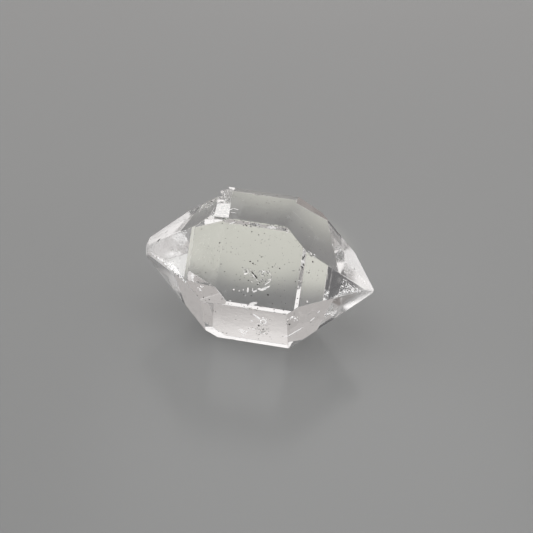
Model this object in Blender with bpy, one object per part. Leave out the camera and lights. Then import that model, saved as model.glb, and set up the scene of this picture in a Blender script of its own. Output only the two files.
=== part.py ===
"""Herkimer diamond: a clear quartz crystal with a point at both ends, lying on one long flat face.

X runs along the crystal from the worn left point to the sharp right point, Z is up, and -Y is the
front. The crystal rests on z = 0 and its box is centred on the origin. It is worked out in
millimetres and turned to metres at the end.
"""

import math

import bmesh
import bpy
from mathutils import Vector, noise

METRES = 0.001

# Size of the crystal
CENTRE_HEIGHT = 5.443  # height of the long axis above the surface it lies on
BLOCK_SIDE = 40.0  # the rough block that the flat faces are cut from
POINT_LEAN = 51.79  # degrees from the long axis to the normal of every end face, as in all quartz

# Six long faces: turn about the long axis from straight up towards the front, and their reach from
# the centre. No real crystal grows evenly, so each face has a reach of its own.
LONG_FACES = {
    "top": (0, 5.443),
    "front_upper": (60, 5.069),
    "front_lower": (120, 5.629),
    "bottom": (180, 5.443),
    "back_lower": (240, 5.174),
    "back_upper": (300, 5.522),
}

# Six end faces at the right point and six at the left, each above the long face of the same turn.
# Three of the six are larger, and the larger ones alternate from one end to the other.
RIGHT_FACES = {
    "right_top": (0, 5.806),
    "right_front_upper": (60, 6.689),
    "right_front_lower": (120, 6.632),
    "right_bottom": (180, 6.585),
    "right_back_lower": (240, 6.150),
    "right_back_upper": (300, 7.121),
}
LEFT_FACES = {
    "left_top": (0, 6.651),
    "left_front_upper": (60, 7.008),
    "left_front_lower": (120, 6.574),
    "left_bottom": (180, 5.790),
    "left_back_lower": (240, 6.292),
    "left_back_upper": (300, 6.699),
}

# Blunted places: outward direction and reach from the centre. The left point has lost its tip, and
# the right point only a crumb.
BLUNTED = [
    ((-1.00, 0.05, 0.02), 9.700),
    ((-0.93, -0.34, 0.10), 9.170),
    ((-0.92, 0.34, -0.16), 9.010),
    ((-0.90, -0.05, 0.42), 9.030),
    ((-0.93, -0.10, -0.34), 9.020),
    ((1.00, -0.06, -0.10), 9.890),
    ((0.96, -0.22, 0.16), 9.610),
]

EDGE_WEAR = 0.045  # width of the fine worn line along every edge
EDGE_STEPS = 2

# Chips along the edges: the two faces that meet, the axis and place along it, the chip's radius,
# its depth, and how far it is drawn out along the edge
EDGE_CHIPS = [
    ("top", "front_upper", "x", -1.62, 0.34, 0.090, 1.7),
    ("top", "front_upper", "x", -0.95, 0.26, 0.060, 2.2),
    ("top", "front_upper", "x", -0.35, 0.20, 0.075, 1.5),
    ("top", "front_upper", "x", 0.12, 0.24, 0.055, 2.0),
    ("top", "front_upper", "x", 0.62, 0.30, 0.095, 1.6),
    ("top", "front_upper", "x", 1.10, 0.22, 0.070, 1.8),
    ("top", "front_upper", "x", 1.58, 0.28, 0.100, 1.4),
    ("top", "front_upper", "x", 2.06, 0.24, 0.080, 1.7),
    ("right_top", "front_upper", "x", 2.75, 0.20, 0.055, 1.8),
    ("right_top", "right_front_upper", "x", 4.72, 0.24, 0.085, 1.6),
    ("right_top", "right_front_upper", "x", 5.05, 0.17, 0.060, 1.4),
    ("front_upper", "front_lower", "x", 0.52, 0.24, 0.075, 1.7),
    ("front_upper", "front_lower", "x", 1.02, 0.20, 0.065, 1.5),
    ("front_upper", "front_lower", "x", -1.60, 0.18, 0.045, 1.8),
    ("front_upper", "front_lower", "x", 3.38, 0.22, 0.070, 1.4),
    ("front_lower", "right_front_lower", "z", 4.15, 0.30, 0.110, 1.5),
    ("front_lower", "right_front_lower", "z", 3.62, 0.20, 0.070, 1.4),
    ("left_top", "left_front_upper", "x", -6.20, 0.18, 0.045, 1.9),
    ("left_top", "left_front_upper", "x", -8.30, 0.24, 0.060, 1.8),
    ("left_front_upper", "left_front_lower", "x", -8.80, 0.22, 0.060, 1.7),
    ("left_front_upper", "front_upper", "z", 7.10, 0.16, 0.040, 2.0),
    ("left_front_lower", "left_bottom", "x", -6.70, 0.22, 0.060, 1.8),
    ("front_lower", "bottom", "x", -1.20, 0.20, 0.050, 2.0),
    ("right_front_lower", "right_bottom", "x", 6.10, 0.22, 0.055, 1.9),
    ("right_top", "right_back_upper", "x", 6.10, 0.22, 0.060, 1.8),
    ("top", "back_upper", "x", 0.90, 0.22, 0.050, 2.0),
    ("back_upper", "back_lower", "x", -1.50, 0.34, 0.110, 1.6),
    ("back_upper", "back_lower", "x", -0.70, 0.22, 0.070, 1.8),
    ("back_upper", "back_lower", "x", 1.90, 0.26, 0.075, 1.7),
    ("back_lower", "bottom", "x", 0.60, 0.22, 0.055, 1.8),
    ("right_back_lower", "back_lower", "z", 3.10, 0.24, 0.065, 1.6),
    ("left_back_upper", "left_back_lower", "x", -6.40, 0.26, 0.075, 1.7),
    ("left_back_lower", "left_bottom", "x", -6.00, 0.22, 0.060, 1.6),
]

# The corner broken off at the upper left, where the top face, the left top face and the left back
# upper face meet. Two rough floors are left in the top face and the left top face: their four corners
# in turn, and how uneven they are.
CORNER_FLOORS = [
    (
        "top",
        ((-3.87, -0.45, 10.91), (-2.72, 0.15, 10.86), (-3.62, 3.60, 10.52), (-4.40, 3.60, 10.34)),
        0.055,
    ),
    (
        "left_top",
        ((-5.30, 1.65, 9.66), (-4.16, 0.85, 10.54), (-4.26, -0.85, 10.46), (-5.36, 0.05, 9.62)),
        0.040,
    ),
]
FLOOR_STEPS = 7  # squares along each side of a rough floor
FLOOR_HEADROOM = 1.2  # how far the cut goes on above a floor

# The step in the ridge that runs down from the broken corner to the left point: where it starts and
# ends along the ridge, and how deep it is at each of the two.
STEP_START = 0.58
STEP_END = 3.70
STEP_DEPTH = 0.68
STEP_END_DEPTH = -0.03
STEP_HALF_WIDTH = 1.90
STEP_UNEVENNESS = 0.030

# Scoops beside the broken corner: centre of the scoop, and its radii along X, Y and Z
CORNER_SCOOPS = [
    ((-3.46, 1.85, 10.98), (0.38, 0.52, 0.46)),
    ((-4.06, 2.10, 10.78), (0.40, 0.55, 0.40)),
    ((-3.12, 0.55, 11.02), (0.34, 0.42, 0.34)),
    ((-4.46, 1.06, 10.50), (0.34, 0.32, 0.26)),
]

# Shallow pits in the faces: the face, the place by x and y, radius and depth
PITS = [
    ("left_top", -7.92, -0.41, 0.16, 0.050),
    ("left_top", -8.26, -1.64, 0.17, 0.055),
    ("left_front_upper", -6.75, -3.02, 0.26, 0.050),
    ("left_front_upper", -6.15, -3.42, 0.22, 0.045),
    ("front_upper", -2.30, -3.55, 0.10, 0.025),
    ("front_upper", 1.90, -4.95, 0.09, 0.020),
    ("right_top", 6.60, 0.90, 0.12, 0.025),
    ("right_top", 5.20, -1.60, 0.10, 0.025),
    ("right_front_lower", 6.35, -3.10, 0.13, 0.030),
    ("front_lower", 1.20, -4.97, 0.14, 0.035),
    ("back_upper", 0.40, 4.90, 0.16, 0.035),
    ("back_upper", -2.10, 4.30, 0.12, 0.030),
    ("back_lower", 1.40, 4.60, 0.15, 0.035),
    ("left_back_upper", -6.10, 3.20, 0.16, 0.040),
    ("right_back_lower", 5.60, 2.70, 0.14, 0.035),
    ("top", 0.70, 1.60, 0.10, 0.020),
]

CHIP_ROUNDNESS = 2  # subdivisions of the ball that bites out a chip
CORNER_ROUNDNESS = 3
ROUGHNESS_OF_BREAK = 0.10  # how uneven a broken surface is, as a share of the scoop
SMALLEST_EDGE = 0.0025  # shorter edges are closed up


def face_normal(turn_degrees, end):
    """Outward direction of a flat face: end is 0 for a long face, 1 right and -1 left."""
    turn = math.radians(turn_degrees)
    outward = Vector((0.0, -math.sin(turn), math.cos(turn)))
    if end == 0:
        return outward
    lean = math.radians(POINT_LEAN)
    return Vector((end * math.cos(lean), 0.0, 0.0)) + outward * math.sin(lean)


def all_faces():
    """Every flat face of the crystal as name: (outward direction, reach from the centre)."""
    faces = {}
    for family, end in ((LONG_FACES, 0), (RIGHT_FACES, 1), (LEFT_FACES, -1)):
        for name, (turn, reach) in family.items():
            faces[name] = (face_normal(turn, end), reach)
    return faces


FACES = all_faces()
CENTRE = Vector((0.0, 0.0, CENTRE_HEIGHT))


def level_of(name):
    """A face as a plane through space: its outward direction and its distance from the origin."""
    normal, reach = FACES[name]
    return normal, reach + normal.dot(CENTRE)


def meet(plane_a, plane_b, plane_c):
    """The point where three planes meet."""
    (na, da), (nb, db), (nc, dc) = plane_a, plane_b, plane_c
    corner = nb.cross(nc) * da + nc.cross(na) * db + na.cross(nb) * dc
    return corner / na.dot(nb.cross(nc))


def point_on_edge(face_a, face_b, axis, place):
    """The point of an edge at a given x, y or z."""
    across = Vector((axis == "x", axis == "y", axis == "z"))
    return meet(level_of(face_a), level_of(face_b), (across, place))


def point_on_face(name, x, y):
    """The point of a face straight above or below a given x and y."""
    normal, distance = level_of(name)
    return Vector((x, y, (distance - normal.x * x - normal.y * y) / normal.z))


def cut_flat(mesh, normal, distance):
    """Cut away all that lies beyond a plane, and close the cut with one flat face."""
    everything = mesh.verts[:] + mesh.edges[:] + mesh.faces[:]
    result = bmesh.ops.bisect_plane(
        mesh,
        geom=everything,
        plane_co=normal * distance,
        plane_no=normal,
        clear_outer=True,
    )
    rim = [part for part in result["geom_cut"] if isinstance(part, bmesh.types.BMEdge)]
    if rim:
        bmesh.ops.contextual_create(mesh, geom=rim)


def grown_crystal():
    """The crystal with all its flat faces, its blunted places and its finely worn edges."""
    mesh = bmesh.new()
    bmesh.ops.create_cube(mesh, size=BLOCK_SIDE)
    bmesh.ops.translate(mesh, verts=mesh.verts, vec=CENTRE)
    for name in FACES:
        cut_flat(mesh, *level_of(name))
    for direction, reach in BLUNTED:
        normal = Vector(direction).normalized()
        cut_flat(mesh, normal, reach + normal.dot(CENTRE))
    bmesh.ops.remove_doubles(mesh, verts=mesh.verts, dist=0.02)
    bmesh.ops.dissolve_degenerate(mesh, edges=mesh.edges, dist=0.01)
    bmesh.ops.bevel(
        mesh,
        geom=mesh.edges[:] + mesh.verts[:],
        offset=EDGE_WEAR,
        offset_type="OFFSET",
        segments=EDGE_STEPS,
        profile=0.5,
        affect="EDGES",
        clamp_overlap=True,
    )
    bmesh.ops.remove_doubles(mesh, verts=mesh.verts, dist=SMALLEST_EDGE)
    bmesh.ops.recalc_face_normals(mesh, faces=mesh.faces)
    return mesh


def ball(mesh, middle, radii, axes, roundness, seed):
    """Add an uneven ball, the shape that a chip takes out of glassy stone."""
    made = bmesh.ops.create_icosphere(mesh, subdivisions=roundness, radius=1.0)
    offset = Vector((3.7 * seed, 1.9 * seed, 5.3))
    for vertex in made["verts"]:
        unit = vertex.co.normalized()
        swell = 1.0 + ROUGHNESS_OF_BREAK * noise.noise(unit * 1.7 + offset)
        swell += 0.5 * ROUGHNESS_OF_BREAK * noise.noise(unit * 4.1 + offset)
        along, aside, out = (unit[i] * radii[i] * swell for i in range(3))
        vertex.co = middle + axes[0] * along + axes[1] * aside + axes[2] * out


def object_from(mesh, name):
    """Turn a working mesh into an object of the scene."""
    data = bpy.data.meshes.new(name)
    mesh.to_mesh(data)
    mesh.free()
    made = bpy.data.objects.new(name, data)
    bpy.context.scene.collection.objects.link(made)
    return made


def bite(stone, cutter_mesh, name):
    """Take a cutter's shape out of the stone, and drop the cutter."""
    cutter = object_from(cutter_mesh, name)
    cutter.hide_render = True
    cutter.display_type = "WIRE"
    step = stone.modifiers.new(name, "BOOLEAN")
    step.operation = "DIFFERENCE"
    step.solver = "EXACT"
    step.object = cutter
    bpy.context.view_layer.objects.active = stone
    bpy.ops.object.modifier_apply(modifier=step.name)
    bpy.data.objects.remove(cutter, do_unlink=True)


def rough_block(mesh, floor, out, headroom, unevenness, seed):
    """Add a block with an uneven floor, which stands up along one direction from that floor."""
    made = bmesh.ops.create_grid(mesh, x_segments=FLOOR_STEPS, y_segments=FLOOR_STEPS, size=0.5)
    first, second, third, fourth = (Vector(corner) for corner in floor)
    offset = Vector((2.3 * seed, 1.1 * seed, 4.7))
    for vertex in made["verts"]:
        u, v = vertex.co.x + 0.5, vertex.co.y + 0.5
        near = first.lerp(second, u)
        far = fourth.lerp(third, u)
        place = near.lerp(far, v)
        rise = noise.noise(place * 2.1 + offset) + 0.5 * noise.noise(place * 5.3 + offset)
        vertex.co = place + out * (unevenness * rise)
    raised = bmesh.ops.extrude_face_region(mesh, geom=mesh.faces[:], use_keep_orig=True)
    lifted = [part for part in raised["geom"] if isinstance(part, bmesh.types.BMVert)]
    bmesh.ops.translate(mesh, verts=lifted, vec=out * headroom)
    bmesh.ops.recalc_face_normals(mesh, faces=mesh.faces)


def break_corner(stone):
    """The corner broken off at the upper left: two rough floors, and scoops at their rims."""
    for number, (name, floor, unevenness) in enumerate(CORNER_FLOORS):
        mesh = bmesh.new()
        rough_block(mesh, floor, FACES[name][0], FLOOR_HEADROOM, unevenness, number + 1)
        bite(stone, mesh, "corner_floor")
    axes = (Vector((1, 0, 0)), Vector((0, 1, 0)), Vector((0, 0, 1)))
    for number, (middle, radii) in enumerate(CORNER_SCOOPS):
        mesh = bmesh.new()
        ball(mesh, Vector(middle), radii, axes, CORNER_ROUNDNESS, number + 40)
        bite(stone, mesh, "corner_scoop")


def step_ridge(stone):
    """The step in the ridge below the broken corner: a steep wall, then a floor that runs out."""
    corner = meet(level_of("top"), level_of("left_top"), level_of("left_back_upper"))
    out = (FACES["left_top"][0] + FACES["left_back_upper"][0]).normalized()
    along = FACES["left_top"][0].cross(FACES["left_back_upper"][0]).normalized()
    if along.x > 0.0:
        along.negate()
    aside = along.cross(out).normalized() * STEP_HALF_WIDTH
    start = corner + along * STEP_START - out * STEP_DEPTH
    end = corner + along * STEP_END - out * STEP_END_DEPTH
    floor = (start - aside, end - aside, end + aside, start + aside)
    mesh = bmesh.new()
    rough_block(mesh, floor, out, FLOOR_HEADROOM, STEP_UNEVENNESS, 9)
    bite(stone, mesh, "ridge_step")


def chip_edges(stone):
    """Small chips along the edges, drawn out along them."""
    for number, (face_a, face_b, axis, place, radius, depth, drawn) in enumerate(EDGE_CHIPS):
        point = point_on_edge(face_a, face_b, axis, place)
        along = FACES[face_a][0].cross(FACES[face_b][0]).normalized()
        out = (FACES[face_a][0] + FACES[face_b][0]).normalized()
        mesh = bmesh.new()
        middle = point + out * (radius - depth)
        axes = (along, out.cross(along), out)
        ball(mesh, middle, (radius * drawn, radius, radius), axes, CHIP_ROUNDNESS, number)
        bite(stone, mesh, "edge_chip")


def pit_faces(stone):
    """Shallow pits in the flat faces."""
    for number, (name, x, y, radius, depth) in enumerate(PITS):
        out = FACES[name][0]
        along = Vector((0, 1, 0)).cross(out).normalized()
        if along.length < 0.5:
            along = Vector((1, 0, 0))
        mesh = bmesh.new()
        middle = point_on_face(name, x, y) + out * (radius - depth)
        axes = (along, out.cross(along), out)
        ball(mesh, middle, (radius * 1.3, radius, radius), axes, CHIP_ROUNDNESS, number + 80)
        bite(stone, mesh, "pit")


def quartz():
    """Clear colourless quartz."""
    made = bpy.data.materials.new("quartz")
    made.use_nodes = True
    shader = made.node_tree.nodes["Principled BSDF"]
    shader.inputs["Base Color"].default_value = (0.93, 0.93, 0.92, 1.0)
    shader.inputs["Roughness"].default_value = 0.02
    shader.inputs["Metallic"].default_value = 0.0
    shader.inputs["IOR"].default_value = 1.544
    shader.inputs["Transmission Weight"].default_value = 1.0
    return made


def settle(mesh):
    """Put each point that lies within a hair of a flat face exactly on that face."""
    for vertex in mesh.verts:
        for name in FACES:
            normal, distance = level_of(name)
            off = normal.dot(vertex.co) - distance
            if abs(off) < SMALLEST_EDGE:
                vertex.co -= normal * off


def finish(stone):
    """Centre the stone over the origin, turn it to metres and give it its material."""
    mesh = bmesh.new()
    mesh.from_mesh(stone.data)
    bmesh.ops.remove_doubles(mesh, verts=mesh.verts, dist=SMALLEST_EDGE)
    settle(mesh)
    bmesh.ops.triangulate(mesh, faces=mesh.faces)
    bmesh.ops.recalc_face_normals(mesh, faces=mesh.faces)
    low = Vector([min(vertex.co[axis] for vertex in mesh.verts) for axis in range(3)])
    high = Vector([max(vertex.co[axis] for vertex in mesh.verts) for axis in range(3)])
    shift = Vector((-(low.x + high.x) / 2, -(low.y + high.y) / 2, -low.z))
    bmesh.ops.translate(mesh, verts=mesh.verts, vec=shift)
    bmesh.ops.scale(mesh, vec=(METRES, METRES, METRES), verts=mesh.verts)
    mesh.to_mesh(stone.data)
    mesh.free()
    stone.data.materials.append(quartz())
    print("quartz_crystal:", len(stone.data.polygons), "triangles")
    print("size in mm:", [round(side, 3) for side in high - low])
    print("moved in mm:", [round(side, 3) for side in shift])


for old in list(bpy.data.objects):
    bpy.data.objects.remove(old, do_unlink=True)

crystal = object_from(grown_crystal(), "quartz_crystal")
break_corner(crystal)
step_ridge(crystal)
chip_edges(crystal)
pit_faces(crystal)
finish(crystal)
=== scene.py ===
# %% [markdown]
# A herkimer diamond is a clear quartz crystal with a natural point at both ends. This lesson takes
# the finished solid of the crystal as a fixed frame and gives it its looks: clear quartz that bends
# and bounces the light, the marks of healed cracks inside it, and a small studio around it.

# %% Load the frame
import math
from random import Random

import bpy
from mathutils import Euler, Matrix, Vector


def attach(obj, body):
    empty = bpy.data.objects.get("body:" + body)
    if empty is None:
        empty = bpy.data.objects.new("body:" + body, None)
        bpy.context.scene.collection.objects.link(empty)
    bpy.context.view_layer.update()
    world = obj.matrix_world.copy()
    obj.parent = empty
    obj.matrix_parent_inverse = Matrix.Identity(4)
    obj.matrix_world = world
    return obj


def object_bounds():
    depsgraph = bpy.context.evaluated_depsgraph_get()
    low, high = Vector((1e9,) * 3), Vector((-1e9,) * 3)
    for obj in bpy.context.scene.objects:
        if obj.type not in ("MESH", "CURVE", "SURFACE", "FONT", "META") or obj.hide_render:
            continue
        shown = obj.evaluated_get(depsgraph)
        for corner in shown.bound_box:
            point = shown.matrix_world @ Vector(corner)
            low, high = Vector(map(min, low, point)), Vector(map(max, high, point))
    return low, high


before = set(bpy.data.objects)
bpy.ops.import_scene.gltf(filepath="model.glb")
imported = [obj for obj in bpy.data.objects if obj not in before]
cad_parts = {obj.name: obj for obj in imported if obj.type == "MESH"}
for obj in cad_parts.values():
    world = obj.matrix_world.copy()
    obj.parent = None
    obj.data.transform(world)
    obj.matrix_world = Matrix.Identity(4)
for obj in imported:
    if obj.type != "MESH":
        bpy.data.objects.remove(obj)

cad_low, cad_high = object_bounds()
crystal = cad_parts["quartz_crystal"]
bpy.ops.object.select_all(action="DESELECT")
print("crystal box in mm:", [round(1000 * side, 2) for side in cad_high - cad_low])

# %% [markdown]
# Everything below is thought out in millimetres, because the crystal is only 20 mm long, and
# colours are given as they look on a screen. Two small functions turn both into Blender's units.
# A third adds a node with its values and links at once, because every look is a net of nodes.

# %% Units and colours
MM = 0.001


def mm(x, y, z):
    """A place given in millimetres, as Blender's metres."""
    return Vector((x, y, z)) * MM


def linear(hex_colour, strength=1.0):
    """A screen colour such as "#929292" as the linear red, green and blue that shaders use."""
    parts = [int(hex_colour[i : i + 2], 16) / 255 for i in (1, 3, 5)]
    return [strength * (c / 12.92 if c <= 0.04045 else ((c + 0.055) / 1.055) ** 2.4) for c in parts]


def add_node(tree, kind, settings=None, links=None):
    """Add one node, set its plain values and link its inputs to outputs of earlier nodes."""
    node = tree.nodes.new(kind)
    for name, value in (settings or {}).items():
        if name in node.inputs:
            node.inputs[name].default_value = value
        else:
            setattr(node, name, value)
    for name, socket in (links or {}).items():
        tree.links.new(socket, node.inputs[name])
    return node


print("a screen grey of #808080 is", round(linear("#808080")[0], 3), "in linear light")

# %% [markdown]
# The camera is a close-up lens eleven centimetres from the stone. It looks down at it by about 28
# degrees from the front, a little from the right, and it is rolled by a few degrees, which makes
# the stone dip to the right in the picture.

# %% Camera
CAMERA_MM = (14.375, -95.443, 57.520)
AIM_MM = (0.576, 0.254, 5.440)
ROLL_DEGREES = 4.65
LENS_MM = 88.0
SENSOR_MM = 36.0
NEAREST_SEEN = 5 * MM
FARTHEST_SEEN = 10.0

eye = mm(*CAMERA_MM)
backward = (eye - mm(*AIM_MM)).normalized()
rightward = Vector((0, 0, 1)).cross(backward).normalized()
upward = backward.cross(rightward)
level = Matrix((rightward, upward, backward)).transposed()
camera_data = bpy.data.cameras.new("close_up_camera")
camera_data.lens = LENS_MM
camera_data.sensor_width = SENSOR_MM
camera_data.clip_start = NEAREST_SEEN
camera_data.clip_end = FARTHEST_SEEN
camera = bpy.data.objects.new("close_up_camera", camera_data)
bpy.context.scene.collection.objects.link(camera)
roll = Matrix.Rotation(math.radians(ROLL_DEGREES), 4, "Z")
camera.matrix_world = Matrix.Translation(eye) @ level.to_4x4() @ roll
bpy.context.scene.camera = camera
print("camera looks down by", round(math.degrees(math.asin(backward.z)), 1), "degrees")

# %% [markdown]
# The stone lies on a plain sheet of pale grey card. The card is a little satin, so that at a very
# flat angle it mirrors the light around it, as the lower faces of the crystal see it. It could
# touch the stone, but two surfaces in one plane confuse the light, and a real stone rests on a few
# points, with a film of air under its face.

# %% Floor
FLOOR_SIZE = 2.4
FLOOR_COLOUR = "#A6A9AA"
SATIN_ROUGHNESS = 0.20
SATIN_SPECULAR = 0.40
AIR_GAP = 0.03 * MM

bpy.ops.mesh.primitive_plane_add(size=FLOOR_SIZE, location=(0, 0, -AIR_GAP))
floor = bpy.context.active_object
floor.name = "floor"
card = bpy.data.materials.new("satin_card")
card.use_nodes = True
card_shader = card.node_tree.nodes["Principled BSDF"]
card_shader.inputs["Base Color"].default_value = (*linear(FLOOR_COLOUR), 1)
card_shader.inputs["Roughness"].default_value = SATIN_ROUGHNESS
card_shader.inputs["Specular IOR Level"].default_value = SATIN_SPECULAR
floor.data.materials.append(card)
print("the card lies", round(AIR_GAP / MM, 3), "mm under the stone")

# %% [markdown]
# A clear stone has no colour of its own: what shows in each face is the light in the one direction
# that the face bends the view to. So the light around it is the paint. The room is a pale grey
# tent with a few soft bright panels: a wide one above and in front, one behind, and some at the
# sides. A dark bench takes light away. Each is a round patch on the sky with a soft rim, which is
# the easiest light to place: the nearer a direction is to its middle, the more of it is added.

# %% Room
ROOM_LIGHT = 0.49
ROOM_COLOUR = "#FFF9F6"
# azimuth (0 behind the stone, 90 on its right), elevation, full within, none beyond, light, colour
PANELS = {
    "above_in_front": (-137, 65, 24, 40, 0.52, "#FFFFFF"),
    "behind": (-4, 39, 8.5, 12, 0.62, "#FFFFFF"),
    "low_behind": (-8, 0, 11.8, 13.2, 0.34, "#FFFCFA"),
    "left": (-94, 8, 20, 44, 0.75, "#FFFFFF"),
    "low_right": (112, 2, 14, 24, 0.62, "#FFFFFF"),
    "high_right": (113, 54, 6, 12, 0.60, "#FFFFFF"),
    "dark_bench_in_front": (-152, 0, 10, 20, -0.28, "#FFFFFF"),
}


def towards(azimuth, elevation):
    """The direction of a place on the sky."""
    turn, rise = math.radians(azimuth), math.radians(elevation)
    return Vector((math.sin(turn) * math.cos(rise), math.cos(turn) * math.cos(rise), math.sin(rise)))


def add_panel(sky, direction, light, azimuth, elevation, full, none, strength, colour):
    """Add one panel to the light so far: the cosine to its middle, ramped between two angles."""
    near = add_node(sky, "ShaderNodeVectorMath", {"operation": "DOT_PRODUCT"}, {"Vector": direction})
    near.inputs[1].default_value = towards(azimuth, elevation)
    rim = add_node(
        sky,
        "ShaderNodeMapRange",
        {
            "interpolation_type": "SMOOTHSTEP",
            "From Min": math.cos(math.radians(none)),
            "From Max": math.cos(math.radians(full)),
        },
        {"Value": near.outputs["Value"]},
    )
    panel = add_node(sky, "ShaderNodeVectorMath", {"operation": "SCALE"}, {"Scale": rim.outputs["Result"]})
    panel.inputs[0].default_value = linear(colour, strength)
    added = add_node(sky, "ShaderNodeVectorMath", {"operation": "ADD"}, {"Vector": light})
    sky.links.new(panel.outputs["Vector"], added.inputs[1])
    return added.outputs["Vector"]


world = bpy.data.worlds.new("pale_tent")
bpy.context.scene.world = world
world.use_nodes = True
sky = world.node_tree
sky_place = add_node(sky, "ShaderNodeTexCoord")
room = add_node(sky, "ShaderNodeVectorMath", {"operation": "SCALE", "Scale": ROOM_LIGHT})
room.inputs[0].default_value = linear(ROOM_COLOUR)
light = room.outputs["Vector"]
for panel in PANELS.values():
    light = add_panel(sky, sky_place.outputs["Generated"], light, *panel)
sky.links.new(light, sky.nodes["Background"].inputs["Color"])
bpy.context.scene.view_settings.view_transform = "Standard"
print("the room has", len(PANELS), "round patches of light and dark")

# %% [markdown]
# Both tips mirror the place of the lens, by way of two inner faces at the back: the right tip what
# is at the lens and on its left, the left tip what is on its right. So a dark grey card and a
# bright white one meet there. They stand a little in front of the lens, and the camera skips them.

# %% Cards by the lens
# middle and sides in millimetres, colour, glow
LENS_CARDS = {
    "dark_card": ((-10.5, -92.0, 60.0), (50.0, 44.0), "#86878B", 0.0),
    "white_card": ((41.0, -92.0, 60.0), (50.0, 44.0), "#F4F4F2", 0.50),
}

for name, (middle, sides, colour, glow) in LENS_CARDS.items():
    bpy.ops.mesh.primitive_plane_add(size=1, location=mm(*middle))
    lens_card = bpy.context.active_object
    lens_card.name = name
    lens_card.scale = (sides[0] * MM, sides[1] * MM, 1)
    lens_card.rotation_euler = mm(*middle).to_track_quat("Z", "Y").to_euler()
    bpy.ops.object.transform_apply(location=True, rotation=True, scale=True)
    lens_card.visible_camera = False
    board = bpy.data.materials.new(name)
    board.use_nodes = True
    board_shader = board.node_tree.nodes["Principled BSDF"]
    board_shader.inputs["Base Color"].default_value = (*linear(colour), 1)
    board_shader.inputs["Emission Color"].default_value = (*linear(colour), 1)
    board_shader.inputs["Emission Strength"].default_value = glow
    lens_card.data.materials.append(board)
    print(name, "is", sides[0], "by", sides[1], "mm")

# %% [markdown]
# Through its lower faces the stone shows the card just behind it, which the stone itself hides from
# the camera. A small lamp from behind lights only that spot, so the faces glow and the card around
# the stone stays an even grey. A weaker one lifts the stone's own shadow in front of it. Both are
# left out of reflections, where they would show as hard sparks.

# %% Lamps on the card
# where it stands, where it aims, half its angle, its light, its colour
LAMPS = {
    "lamp_behind": ((-2.0, 60.0, 90.0), (-1.5, 14.4, 0.0), 4.4, 0.42, "#FFFAE4"),
    "lamp_in_front": ((10.0, -90.0, 80.0), (1.5, -9.5, 0.0), 4.2, 0.11, "#FFFFFF"),
}
LAMP_RADIUS = 2 * MM
LAMP_RIM = 0.6  # how much of the lit spot is its soft rim

for name, (stand, aim, half_angle, watts, colour) in LAMPS.items():
    data = bpy.data.lights.new(name, "SPOT")
    data.spot_size = math.radians(2 * half_angle)
    data.spot_blend = LAMP_RIM
    data.shadow_soft_size = LAMP_RADIUS
    data.energy = watts
    data.color = linear(colour)
    lamp = bpy.data.objects.new(name, data)
    bpy.context.scene.collection.objects.link(lamp)
    lamp.location = mm(*stand)
    lamp.rotation_euler = (mm(*stand) - mm(*aim)).to_track_quat("Z", "Y").to_euler()
    lamp.visible_glossy = False
    lamp.visible_transmission = False
    print(name, "lights the card with", watts, "watts")

# %% [markdown]
# Light that is caught between the faces of a crystal bounces many times before it leaves. The
# usual limit would cut these paths short and paint them black, so it is raised.

# %% Light paths
LONGEST_PATH = 32

cycles = bpy.context.scene.cycles
cycles.max_bounces = LONGEST_PATH
cycles.glossy_bounces = LONGEST_PATH
cycles.transmission_bounces = LONGEST_PATH
print("light may bounce", LONGEST_PATH, "times")

# %% [markdown]
# Quartz is harder than glass and bends light a little more. Its faces look flat, but a grown face
# is never a perfect mirror: very low hills, about a micron high, blur and mottle what the eye sees
# after several bounces, and leave the direct view clear. They could be modelled, but a weak bump
# with a grain of half a millimetre does the same. Towards the points the hills are higher.

# %% Quartz
QUARTZ_IOR = 1.548
HILL_SIZE = 0.45 * MM
HILL_HEIGHT = 0.0010 * MM
HILL_DETAIL = 2.0
RISE_STARTS = 4.4 * MM  # from the middle, along the stone
RISE_FULL = 6.2 * MM
RISE_FACTOR = 1.5

quartz = bpy.data.materials.new("quartz")
quartz.use_nodes = True
tree = quartz.node_tree
shader = tree.nodes["Principled BSDF"]
shader.inputs["Base Color"].default_value = (1, 1, 1, 1)
shader.inputs["IOR"].default_value = QUARTZ_IOR
shader.inputs["Transmission Weight"].default_value = 1.0
where = add_node(tree, "ShaderNodeTexCoord")
hills = add_node(
    tree,
    "ShaderNodeTexNoise",
    {"Scale": 1 / HILL_SIZE, "Detail": HILL_DETAIL},
    {"Vector": where.outputs["Object"]},
)
axes = add_node(tree, "ShaderNodeSeparateXYZ", {}, {"Vector": where.outputs["Object"]})
outward = add_node(tree, "ShaderNodeMath", {"operation": "ABSOLUTE"}, {"Value": axes.outputs["X"]})
etched = add_node(
    tree,
    "ShaderNodeMapRange",
    {"From Min": RISE_STARTS, "From Max": RISE_FULL, "To Min": 1.0, "To Max": RISE_FACTOR},
    {"Value": outward.outputs["Value"]},
)
rise = add_node(tree, "ShaderNodeMath", {"operation": "MULTIPLY"}, {"Value": hills.outputs["Fac"]})
tree.links.new(etched.outputs["Result"], rise.inputs[1])
bump = add_node(tree, "ShaderNodeBump", {"Distance": HILL_HEIGHT}, {"Height": rise.outputs["Value"]})
tree.links.new(bump.outputs["Normal"], shader.inputs["Normal"])
crystal.data.materials.clear()
crystal.data.materials.append(quartz)
print("quartz has an IOR of", QUARTZ_IOR, "and hills of", round(1000 * HILL_HEIGHT / MM, 1), "micron")

# %% [markdown]
# The points of the stone are etched and worn, so they are a little hazy: what they mirror runs
# together into soft white and grey. Roughness that grows along the stone does that. The noise of
# the hills shifts where it begins, so that the haze has a ragged edge and no straight line.

# %% Haze of the points
HAZE_STARTS = 5.2 * MM  # from the middle, along the stone
HAZE_FULL = 8.0 * MM
HAZE_WANDER = 2.4 * MM
HAZE_ROUGHNESS = 0.15

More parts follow.
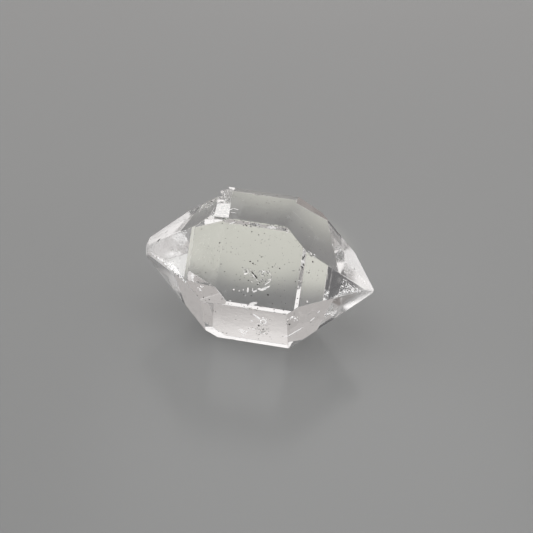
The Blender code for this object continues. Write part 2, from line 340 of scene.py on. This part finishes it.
ragged = add_node(tree, "ShaderNodeMath", {"operation": "MULTIPLY_ADD"}, {"Value": hills.outputs["Fac"]})
ragged.inputs[1].default_value = HAZE_WANDER
tree.links.new(outward.outputs["Value"], ragged.inputs[2])
haze = add_node(
    tree,
    "ShaderNodeMapRange",
    {
        "From Min": HAZE_STARTS + HAZE_WANDER / 2,
        "From Max": HAZE_FULL + HAZE_WANDER / 2,
        "To Min": 0.0,
        "To Max": HAZE_ROUGHNESS,
    },
    {"Value": ragged.outputs["Value"]},
)
tree.links.new(haze.outputs["Result"], shader.inputs["Roughness"])
print("haze starts about", round(HAZE_STARTS / MM, 1), "mm from the middle")

# %% [markdown]
# A crystal is read by the small things in it. They are placed by the picture: a line from the
# camera through a spot of the picture meets a face, bends as light does in quartz, and runs on
# for a given depth. That is where the mark goes, so it shows where the real one does. Other marks
# are scattered at random, and a test keeps them inside the stone.

# %% Places under the faces
PICTURE_SIDE = 533
SLANT = SENSOR_MM / LENS_MM / PICTURE_SIDE  # how far a ray leans from one pixel to the next
USUAL_DEPTH = 0.3
EDGE_SHARE = 0.8  # near an edge, this much of a margin is enough
heart = (cad_low + cad_high) / 2


def bend(ray, normal, ratio):
    """The way a ray goes on after a face, by Snell's law."""
    cosine = -ray.dot(normal)
    return ratio * ray + (ratio * cosine - math.sqrt(1 - ratio**2 * (1 - cosine**2))) * normal


def look_in(column, row):
    """The face that shows at a spot of the picture: the place, the way in and the normal."""
    offset = Vector(((column - PICTURE_SIDE / 2) * SLANT, (PICTURE_SIDE / 2 - row) * SLANT, -1))
    ray = (camera.matrix_world.to_3x3() @ offset).normalized()
    hit, place, normal, _ = crystal.ray_cast(eye, ray)
    if not hit:
        raise ValueError(f"no face at {column}, {row}")
    return place, bend(ray, normal, 1 / QUARTZ_IOR), normal


def under(column, row, depth):
    """The place a depth in millimetres under the face that shows at a spot of the picture."""
    place, way_in, _ = look_in(column, row)
    return place + depth * MM * way_in


def is_within(spot, margin):
    """Whether a spot lies in the stone, about a margin in millimetres or more from any face."""
    _, place, normal, _ = crystal.closest_point_on_mesh(spot)
    return (spot - place).dot(normal) < 0 and (spot - place).length > EDGE_SHARE * margin * MM


def inside(chance, shallow, deep):
    """A place at random under any face, between two depths in millimetres."""
    while True:
        ray = Vector([chance.gauss(0, 1) for _ in range(3)]).normalized()
        _, place, normal, _ = crystal.ray_cast(heart, ray)
        spot = place - normal * chance.uniform(shallow, deep) * MM
        if is_within(spot, shallow):
            return spot


print("a pixel is", round(SLANT * (eye - heart).length / MM, 3), "mm wide at the stone")

# %% [markdown]
# Three shapes make up all the marks: a rough grain, a thin flake and a pointed needle. Each is
# modelled once, one unit in size, and its copies are scaled and turned into place. A grain starts
# as a ball of few faces. Its corners are pushed about and it is squashed, so that it looks broken
# and no longer like a ball. The coarse one is for marks that are seen one by one.

# %% Grain
GRAIN_SQUASH = (1.0, 0.8, 0.65)


def start_edit(name):
    """Name the new primitive and begin to edit all of it."""
    shape = bpy.context.active_object
    shape.name = name
    bpy.ops.object.mode_set(mode="EDIT")
    bpy.ops.mesh.select_all(action="SELECT")
    return shape


def model_grain(name, detail, push, seed):
    """A squashed ball with rough corners."""
    bpy.ops.mesh.primitive_ico_sphere_add(subdivisions=detail, radius=0.5)
    shape = start_edit(name)
    bpy.ops.transform.vertex_random(offset=push, seed=seed)
    bpy.ops.transform.resize(value=GRAIN_SQUASH)
    bpy.ops.object.mode_set(mode="OBJECT")
    return shape


grain = model_grain("grain", detail=2, push=0.09, seed=3)
fine_grain = model_grain("fine_grain", detail=1, push=0.06, seed=5)
print("grain and fine grain have", len(grain.data.polygons), "and", len(fine_grain.data.polygons), "faces")

# %% [markdown]
# A flake stands for a thin film in a healed crack. It starts as a flat disc of nine corners, which
# is extruded to a plate, pushed out of round and made narrower. An extruded disc can be inside out,
# so its normals are made to point outwards.

# %% Flake
FLAKE_WAIST = 0.7


def model_flake(name, corners, thickness, push, seed):
    """A thin plate with an uneven outline, longer than it is wide."""
    bpy.ops.mesh.primitive_circle_add(vertices=corners, radius=0.5, fill_type="NGON")
    shape = start_edit(name)
    bpy.ops.mesh.extrude_region_move(TRANSFORM_OT_translate={"value": (0, 0, thickness)})
    bpy.ops.mesh.select_all(action="SELECT")
    bpy.ops.transform.vertex_random(offset=push, seed=seed)
    bpy.ops.transform.resize(value=(1.0, FLAKE_WAIST, 1.0))
    bpy.ops.mesh.normals_make_consistent(inside=False)
    bpy.ops.object.mode_set(mode="OBJECT")
    return shape


flake = model_flake("flake", corners=9, thickness=0.05, push=0.05, seed=7)
print("flake has", len(flake.data.polygons), "faces")

# %% [markdown]
# A needle draws a stroke. It could be a cone at each end of a rod, but a short cylinder whose two
# end faces are extruded and drawn in gives one closed shape at once.

# %% Needle
NEEDLE_BODY = 0.5
NEEDLE_TAPER = 0.25
END_FACE = 0.9  # an end face looks at least this much along the needle


def model_needle(name):
    """A rod that narrows to both ends."""
    bpy.ops.mesh.primitive_cylinder_add(vertices=6, radius=0.5, depth=NEEDLE_BODY)
    shape = start_edit(name)
    for end in (-1, 1):
        bpy.ops.mesh.select_all(action="DESELECT")
        bpy.ops.object.mode_set(mode="OBJECT")
        for face in shape.data.polygons:
            face.select = face.normal.z * end > END_FACE
        bpy.ops.object.mode_set(mode="EDIT")
        bpy.ops.mesh.select_mode(type="FACE")
        point = (0, 0, end * (1 - NEEDLE_BODY) / 2)
        bpy.ops.mesh.extrude_region_move(TRANSFORM_OT_translate={"value": point})
        bpy.ops.transform.resize(value=(NEEDLE_TAPER, NEEDLE_TAPER, 1.0))
    bpy.ops.object.mode_set(mode="OBJECT")
    return shape


needle = model_needle("needle")
print("needle is", round(needle.dimensions.z, 3), "long and has", len(needle.data.polygons), "faces")


# %% [markdown]
# The helpers below lay a copy of a shape at its place. The copies of one kind of mark are gathered
# in a list and joined into one piece, which rides on the crystal.

# %% Copies and pieces
def lay(shape, place, turn, size):
    """A copy of a shape with its own mesh, sized in millimetres along its three axes."""
    copy = shape.copy()
    copy.data = shape.data.copy()
    bpy.context.scene.collection.objects.link(copy)
    scale = Matrix.Diagonal((*[side * MM for side in size], 1.0))
    copy.data.transform(Matrix.Translation(place) @ turn.to_matrix().to_4x4() @ scale)
    return copy


def any_turn(chance):
    """A turn at random."""
    return Euler([chance.uniform(0, math.tau) for _ in range(3)]).to_quaternion()


def stroke(start, stop, depth, width):
    """A needle that shows as a stroke between two spots of the picture."""
    a, b = under(*start, depth), under(*stop, depth)
    along = (b - a).to_track_quat("Z", "Y")
    return lay(needle, (a + b) / 2, along, (width, width, (b - a).length / MM))


def join_piece(name, copies, material):
    """Join the copies into one named piece with one material."""
    bpy.ops.object.select_all(action="DESELECT")
    for copy in copies:
        copy.select_set(True)
    bpy.context.view_layer.objects.active = copies[0]
    bpy.ops.object.join()
    piece = bpy.context.active_object
    piece.name = name
    piece.data.name = name
    piece.data.materials.clear()
    piece.data.materials.append(material)
    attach(piece, "root")
    bpy.ops.object.select_all(action="DESELECT")
    print(name, "has", len(copies), "marks and", len(piece.data.polygons), "faces")


# %% [markdown]
# The black specks are carbon, the charred oil that many such crystals hold. Carbon is dull black
# with a brownish grey dust on some of its faces, which a noise in coarse patches mixes in. The
# other marks are mixed in the same way, so the function takes the two colours and their finish.

# %% Speckled materials
SPECKLE_DETAIL = 3.0
DARK_UNTIL = 0.38  # the noise stays mostly between these two values
LIGHT_FROM = 0.66


def speckled(name, dark, light, patch_mm, roughness, metallic=0.0):
    """A material that wanders between two colours in patches of a given size."""
    material = bpy.data.materials.new(name)
    material.use_nodes = True
    tree = material.node_tree
    shader = tree.nodes["Principled BSDF"]
    shader.inputs["Roughness"].default_value = roughness
    shader.inputs["Metallic"].default_value = metallic
    where = add_node(tree, "ShaderNodeTexCoord")
    patches = add_node(
        tree,
        "ShaderNodeTexNoise",
        {"Scale": 1 / (patch_mm * MM), "Detail": SPECKLE_DETAIL},
        {"Vector": where.outputs["Object"]},
    )
    ramp = add_node(tree, "ShaderNodeValToRGB", {}, {"Fac": patches.outputs["Fac"]})
    ramp.color_ramp.elements[0].position = DARK_UNTIL
    ramp.color_ramp.elements[0].color = (*linear(dark), 1)
    ramp.color_ramp.elements[1].position = LIGHT_FROM
    ramp.color_ramp.elements[1].color = (*linear(light), 1)
    tree.links.new(ramp.outputs["Color"], shader.inputs["Base Color"])
    return material


carbon = speckled("carbon", "#15120F", "#4A433B", patch_mm=0.05, roughness=0.55)
print(carbon.name, "has", len(carbon.node_tree.nodes), "nodes")

# %% [markdown]
# The specks that the picture shows one by one are laid one by one, as coarse grains. Four dark
# strokes are needles. Between them the stone is dusted with fine grains: thickest behind the
# front face, and a few all round, so that it also looks right from its other sides.

# %% Carbon specks
CARBON_SEED = 11
SPOT_DEPTH = 0.25
# column and row in the picture, size in millimetres
CARBON_SPOTS = (
    (268.0, 294.8, 0.17), (250.1, 261.5, 0.14), (253.0, 263.3, 0.15), (255.6, 264.6, 0.09),
    (246.2, 271.2, 0.13), (248.4, 280.4, 0.12), (224.6, 271.4, 0.10), (272.5, 266.9, 0.12),
    (279.7, 268.4, 0.12), (257.6, 284.5, 0.13), (259.6, 282.7, 0.12), (261.6, 281.0, 0.12),
    (246.5, 225.6, 0.14), (250.7, 226.1, 0.13), (251.9, 231.7, 0.12), (258.8, 234.8, 0.10),
    (219.6, 242.8, 0.14), (312.8, 261.8, 0.17), (309.0, 272.7, 0.14), (258.8, 325.2, 0.24),
    (262.2, 323.2, 0.16), (289.5, 324.4, 0.24), (310.6, 322.3, 0.14), (364.8, 294.1, 0.13),
    (283.5, 310.1, 0.11), (213.2, 310.7, 0.12), (218.5, 331.5, 0.10), (222.9, 332.4, 0.13),
    (336.3, 247.7, 0.12), (344.3, 249.4, 0.10), (354.5, 268.9, 0.13), (247.8, 305.1, 0.11),
    (239.8, 337.6, 0.10), (212.0, 201.4, 0.16), (201.5, 229.0, 0.10), (231.0, 252.0, 0.09),
)
STROKE_DEPTH = 0.2
# where each starts and stops in the picture, and its width in millimetres
CARBON_STROKES = (
    ((165.2, 233.4), (168.0, 230.2), 0.13),
    ((157.2, 242.0), (160.6, 238.4), 0.13),
    ((250.8, 271.2), (254.2, 274.6), 0.09),
    ((254.4, 274.8), (257.4, 278.4), 0.11),
)
DUST_IN_FRONT = 210
DUST_COLUMNS = (195, 335)
DUST_ROWS = (212, 335, 250)  # the first, the last and the fullest
DUST_DEPTHS = (0.15, 1.2)
DUST_SIZES = (0.03, 0.08)
DUST_MARGIN = 0.08
DUST_ALL_ROUND = 110
ALL_ROUND_DEPTHS = (0.12, 1.6)
ALL_ROUND_SIZES = (0.04, 0.13)

chance = Random(CARBON_SEED)
specks = [
    lay(grain, under(column, row, SPOT_DEPTH), any_turn(chance), (size, size, size))
    for column, row, size in CARBON_SPOTS
]
specks += [stroke(start, stop, STROKE_DEPTH, width) for start, stop, width in CARBON_STROKES]
for _ in range(DUST_IN_FRONT):
    size = chance.uniform(*DUST_SIZES)
    column = chance.uniform(*DUST_COLUMNS)
    row = chance.triangular(*DUST_ROWS)
    spot = under(column, row, chance.uniform(*DUST_DEPTHS))
    if is_within(spot, DUST_MARGIN):
        specks.append(lay(fine_grain, spot, any_turn(chance), (size, size, size)))
for _ in range(DUST_ALL_ROUND):
    size = chance.uniform(*ALL_ROUND_SIZES)
    spot = inside(chance, *ALL_ROUND_DEPTHS)
    specks.append(lay(fine_grain, spot, any_turn(chance), (size, size, size)))
join_piece("carbon_specks", specks, carbon)

# %% [markdown]
# A crack that healed while the crystal grew keeps thin films of gas. A film shines like a mirror
# where it faces a light and looks dark where it doesn't. So each is turned half-way between the
# way the camera looks in and the way the light of a panel comes in. For a film under the lower
# front face, that light comes in by the face above it.

# %% Films that face a light
FRONT_FACE_SPOT = (258, 266)
FILM_THICKNESS = 0.35  # times the flake's own thickness of a twentieth: 17 microns


def facing_light(column, row, panel):
    """The normal of a mirror under a face that shows a panel of the room to the camera."""
    _, way_in, normal = look_in(column, row)
    if normal.z < 0:
        _, _, normal = look_in(*FRONT_FACE_SPOT)
    azimuth, elevation = PANELS[panel][:2]
    from_panel = bend(-towards(azimuth, elevation), normal, 1 / QUARTZ_IOR)
    return -(way_in + from_panel).normalized()


def turned(along, normal):
    """The turn that lays a flake's length along one direction and its face along another."""
    across = normal.cross(along).normalized()
    return Matrix((across.cross(normal), across, normal)).transposed().to_quaternion()


def ribbon(start, stop, width):
    """A thin bright film that shows as a stroke between two spots of the picture."""
    a, b = under(*start, USUAL_DEPTH), under(*stop, USUAL_DEPTH)
    middle = [(u + v) / 2 for u, v in zip(start, stop)]
    normal = facing_light(*middle, "above_in_front")
    size = ((b - a).length / MM, width / FLAKE_WAIST, FILM_THICKNESS)
    return lay(flake, (a + b) / 2, turned(b - a, normal), size)


def small_film(chance, column, row, depth, size, sway):
    """A small bright film, turned a little off the best angle by chance."""
    normal = facing_light(column, row, "above_in_front")
    normal = (normal + sway * Vector([chance.uniform(-1, 1) for _ in range(3)])).normalized()
    along = Vector([chance.uniform(-1, 1) for _ in range(3)])
    return lay(flake, under(column, row, depth), turned(along, normal), (size, size, FILM_THICKNESS))


tilt = math.degrees(math.acos(facing_light(*FRONT_FACE_SPOT, "above_in_front").z))
print("a film behind the front face is tilted by", round(tilt), "degrees from level")

# %% [markdown]
# Strokes and dots of film make the feather in the middle of the front face. Patches of very small
# films glitter around it and at the broken corner. Gas behind a smooth wall mirrors all the light,
# as polished metal does, so the film is a bright metal with a hint of grey.

# %% Strokes, dots and patches of film
FILM_SEED = 23
# start and stop in the picture and width in millimetres
FILM_STROKES = (
    ((250.8, 271.0), (255.6, 278.4), 0.12),
    ((246.8, 268.6), (250.4, 275.2), 0.07),
    ((244.0, 274.4), (247.8, 272.6), 0.19),
    ((247.9, 287.2), (247.7, 292.8), 0.17),
    ((263.4, 290.2), (257.6, 288.6), 0.19),
    ((261.0, 290.6), (267.2, 287.0), 0.26),
    ((265.6, 288.2), (270.0, 285.6), 0.19),
    ((264.6, 285.4), (271.0, 280.8), 0.11),
    ((252.8, 292.2), (257.0, 290.0), 0.20),
    ((252.6, 291.4), (252.4, 288.0), 0.11),
    ((262.0, 270.8), (265.8, 272.6), 0.13),
    ((268.2, 280.2), (271.2, 278.6), 0.11),
    ((268.4, 272.4), (271.6, 275.6), 0.07),
    ((271.6, 276.2), (270.8, 281.6), 0.06),
    ((229.2, 224.2), (235.6, 221.6), 0.10),
)
# column and row in the picture, size in millimetres
FILM_DOTS = (
    (233.9, 289.6, 0.19), (239.2, 290.8, 0.14), (243.2, 289.8, 0.16), (245.0, 295.4, 0.12),
    (251.9, 281.8, 0.15), (257.0, 280.0, 0.16), (258.4, 283.4, 0.14), (243.8, 271.2, 0.11),
    (307.2, 301.6, 0.19), (230.3, 300.8, 0.17), (311.0, 253.2, 0.26), (314.4, 254.6, 0.24),
    (308.6, 251.6, 0.18), (309.4, 236.6, 0.14), (253.0, 303.6, 0.40), (250.6, 304.4, 0.28),
    (255.6, 303.2, 0.30), (247.4, 308.4, 0.24), (243.6, 306.6, 0.22),
)
DOT_SWAY = 0.05
# three corners of the patch in the picture, how many films, their usual size, sway
FILM_PATCHES = (
    ((256, 270), (272, 270), (264, 285), 34, 0.13, 0.5),
    ((242, 267), (258, 270), (256, 284), 24, 0.10, 0.6),
    ((194, 240), (246, 244), (216, 264), 14, 0.10, 0.5),
    ((199, 211), (206, 203), (213, 205), 30, 0.20, 0.4),
    ((223, 200), (229, 193), (230, 203), 40, 0.18, 0.5),
)
PATCH_DEPTHS = (0.15, 0.5)
SIZE_SPREAD = (0.5, 1.3)  # the smallest and the largest of a patch, as shares of the usual size


def spot_in_triangle(chance, corners):
    """A spot of the picture at random between three corners."""
    a, b = sorted((chance.random(), chance.random()))
    shares = (a, b - a, 1 - b)
    return [sum(share * corner[i] for share, corner in zip(shares, corners)) for i in (0, 1)]


film = speckled("gas_film", "#E6E8E8", "#FCFCFB", patch_mm=0.3, roughness=0.08, metallic=1.0)
chance = Random(FILM_SEED)
films = [ribbon(start, stop, width) for start, stop, width in FILM_STROKES]
films += [small_film(chance, column, row, USUAL_DEPTH, size, DOT_SWAY) for column, row, size in FILM_DOTS]
for *corners, count, usual_size, sway in FILM_PATCHES:
    for _ in range(count):
        column, row = spot_in_triangle(chance, corners)
        depth = chance.uniform(*PATCH_DEPTHS)
        size = chance.uniform(*SIZE_SPREAD) * usual_size
        films.append(small_film(chance, column, row, depth, size, sway))
print(len(films), "small films are laid")

# %% [markdown]
# One large film lies almost level under the top face by the broken corner and catches the panel
# behind. It has four corners of its own, so no flake will do. The corners are set first, where
# their spots in the picture meet the film's plane, and the sheet is then extruded along its
# normal. The circle's four points are only the start for them.

# %% Level film
# corner by corner in the picture
LEVEL_FILM = ((217.2, 203.6), (230.8, 203.4), (228.6, 217.8), (214.2, 216.2))
LEVEL_FILM_MIDDLE = (222.5, 210.5)
LEVEL_FILM_DEPTH = 0.4
FILM_SHEET = 0.03 * MM

film_middle = under(*LEVEL_FILM_MIDDLE, LEVEL_FILM_DEPTH)
film_normal = facing_light(*LEVEL_FILM_MIDDLE, "behind")


def film_spot(column, row):
    """The place on the plane of the level film that shows at a spot of the picture."""
    place, way_in, _ = look_in(column, row)
    return place + way_in * ((film_middle - place).dot(film_normal) / way_in.dot(film_normal))


bpy.ops.mesh.primitive_circle_add(vertices=len(LEVEL_FILM), radius=MM, fill_type="NGON")
level_film = bpy.context.active_object
for vertex, corner in zip(level_film.data.vertices, LEVEL_FILM):
    vertex.co = film_spot(*corner)
start_edit("level_film")
bpy.ops.mesh.extrude_region_move(TRANSFORM_OT_translate={"value": FILM_SHEET * film_normal})
bpy.ops.mesh.select_all(action="SELECT")
bpy.ops.mesh.normals_make_consistent(inside=False)
bpy.ops.object.mode_set(mode="OBJECT")
films.append(level_film)
print("the level film is", round(math.degrees(math.acos(film_normal.z)), 1), "degrees from level")
join_piece("gas_films", films, film)

# %% [markdown]
# Low on the front faces the cracks healed to a milky white: a swirl with a ring, short ticks and
# a crust. Towards the points the same tiny bubbles lie in thin veils, and there the veils are
# also a painted reflection: white grains where those corners of the stone mirror bright light.
# The light reaches them through the whole stone and from all sides, so they are plain white. A
# glow on them is painted light: it stands for the light that the bubbles pass on to one another
# and for their sparkle, which the room alone doesn't give them.

# %% Milky white
# painted light: how brightly the milky marks glow, though they are no lamp
MILKY_PAINTED_GLOW = 0.72

milk_with_painted_glow = speckled("milky_crack_painted_glow", "#E4E2E0", "#FFFFFF", patch_mm=0.1, roughness=0.5)
milk_shader = milk_with_painted_glow.node_tree.nodes["Principled BSDF"]
# painted light: the milky marks glow, to look brighter than the room lights them
milk_shader.inputs["Emission Color"].default_value = (1, 1, 1, 1)
milk_shader.inputs["Emission Strength"].default_value = MILKY_PAINTED_GLOW
print(milk_with_painted_glow.name, "glows with a strength of", MILKY_PAINTED_GLOW)

# %% [markdown]
# The white strokes are needles, the dots coarse grains, and the crusts and veils patches of fine
# grains. The ring of the swirl is drawn last, as short needles from angle to angle.

# %% Milky marks
MILKY_SEED = 47
# start and stop in the picture and width in millimetres
MILKY_STROKES = (
    ((253.0, 314.0), (256.6, 316.4), 0.14),
    ((256.4, 316.2), (260.2, 319.4), 0.19),
    ((284.0, 336.6), (303.2, 327.2), 0.12),
    ((310.2, 321.2), (314.6, 317.5), 0.13),
    ((317.4, 313.0), (320.0, 310.6), 0.10),
    ((351.0, 303.4), (354.0, 301.4), 0.12),
    ((239.4, 329.2), (244.6, 331.0), 0.09),
    ((241.0, 334.6), (244.4, 336.4), 0.07),
    ((228.6, 210.2), (233.6, 208.4), 0.09),
    ((233.6, 208.4), (238.6, 209.8), 0.08),
    ((230.4, 212.2), (236.4, 213.0), 0.06),
)
# column and row in the picture, size in millimetres
MILKY_DOTS = (
    (251.9, 320.9, 0.20), (253.6, 329.0, 0.22), (249.6, 327.8, 0.15), (260.5, 332.7, 0.18),
    (263.9, 333.5, 0.16), (295.0, 318.4, 0.26), (292.6, 317.4, 0.18), (297.2, 320.2, 0.16),
    (263.0, 317.6, 0.17), (266.4, 319.2, 0.13), (246.4, 331.6, 0.17), (290.6, 319.0, 0.15),
)
# three corners of the patch in the picture, how many grains, their usual size
MILKY_PATCHES_AND_PAINTED_SHEEN = (
    ((323, 314.5), (338, 310.5), (334, 315.5), 26, 0.12),
    ((236, 329), (249, 330), (245, 335), 24, 0.11),
    ((289, 316), (298, 317), (294, 322), 16, 0.12),
    ((254, 315), (266, 318), (258, 326), 16, 0.08),
    # the next three rows are veils by the points, partly a painted reflection: white grains where those
    # corners mirror bright light
    ((337, 244), (336, 267), (352, 262), 70, 0.09),
    ((337, 268), (352, 262), (367, 285), 60, 0.09),
    ((150, 252), (187, 283), (175, 266), 190, 0.10),
    ((196, 285), (204, 286), (200, 292), 14, 0.10),
    ((211, 216), (214, 210), (216, 216), 16, 0.10),
    # two more veils by the right point, partly a painted reflection in the same way
    ((338, 294), (343, 278), (362, 291), 150, 0.07),
    ((340, 294), (349, 284), (356, 291), 60, 0.08),
)
MILKY_DEPTHS = (0.15, 0.4)
RING_CENTRE = (263.3, 321.8)
RING_RADIUS = 2.9
RING_SQUASH = 0.8
RING_STROKES = 9
RING_WIDTH = 0.10

chance = Random(MILKY_SEED)
marks = [stroke(start, stop, USUAL_DEPTH, width) for start, stop, width in MILKY_STROKES]
for column, row, size in MILKY_DOTS:
    marks.append(lay(grain, under(column, row, USUAL_DEPTH), any_turn(chance), (size, size, size)))
for *corners, count, usual_size in MILKY_PATCHES_AND_PAINTED_SHEEN:
    for _ in range(count):
        column, row = spot_in_triangle(chance, corners)
        size = chance.uniform(*SIZE_SPREAD) * usual_size
        spot = under(column, row, chance.uniform(*MILKY_DEPTHS))
        marks.append(lay(fine_grain, spot, any_turn(chance), (size, size, size)))
for k in range(RING_STROKES):
    ends = []
    for step in (k, k + 1):
        angle = math.tau * step / RING_STROKES
        column = RING_CENTRE[0] + RING_RADIUS * math.cos(angle)
        ends.append((column, RING_CENTRE[1] + RING_SQUASH * RING_RADIUS * math.sin(angle)))
    marks.append(stroke(*ends, USUAL_DEPTH, RING_WIDTH))
# these marks carry painted light: a glow on all of them, and veils that stand for reflections by the
# points
join_piece("milky_marks_and_painted_light", marks, milk_with_painted_glow)

# %% [markdown]
# Where mud got into the growing crystal it left a small grey green cloud of clay, low on the front
# face. A mist in the quartz would be heavy to render, so the cloud is what it is in the stone:
# many fine loose grains, thickest in the middle. Clay is dull and wanders from grey to green.

# %% Clay cloud
CLOUD_SEED = 31
CLOUD_CENTRE = (262.5, 331.0)
CLOUD_SPREAD = (3.4, 2.4)
CLOUD_LOWEST_ROW = 336  # the face ends a little below this row
CLOUD_GRAINS = 90
CLOUD_SIZES = (0.05, 0.11)
CLOUD_DEPTHS = (0.15, 0.5)

clay = speckled("clay", "#7F857C", "#B4B8AE", patch_mm=0.06, roughness=0.8)
chance = Random(CLOUD_SEED)
cloud = []
for _ in range(CLOUD_GRAINS):
    column = chance.gauss(CLOUD_CENTRE[0], CLOUD_SPREAD[0])
    row = min(chance.gauss(CLOUD_CENTRE[1], CLOUD_SPREAD[1]), CLOUD_LOWEST_ROW)
    size = chance.uniform(*CLOUD_SIZES)
    spot = under(column, row, chance.uniform(*CLOUD_DEPTHS))
    cloud.append(lay(fine_grain, spot, any_turn(chance), (size, size, size)))
join_piece("clay_cloud", cloud, clay)

# %% [markdown]
# Last, the four shapes that were only copied are removed.

# %% Finish
for shape in (grain, fine_grain, flake, needle):
    bpy.data.objects.remove(shape)
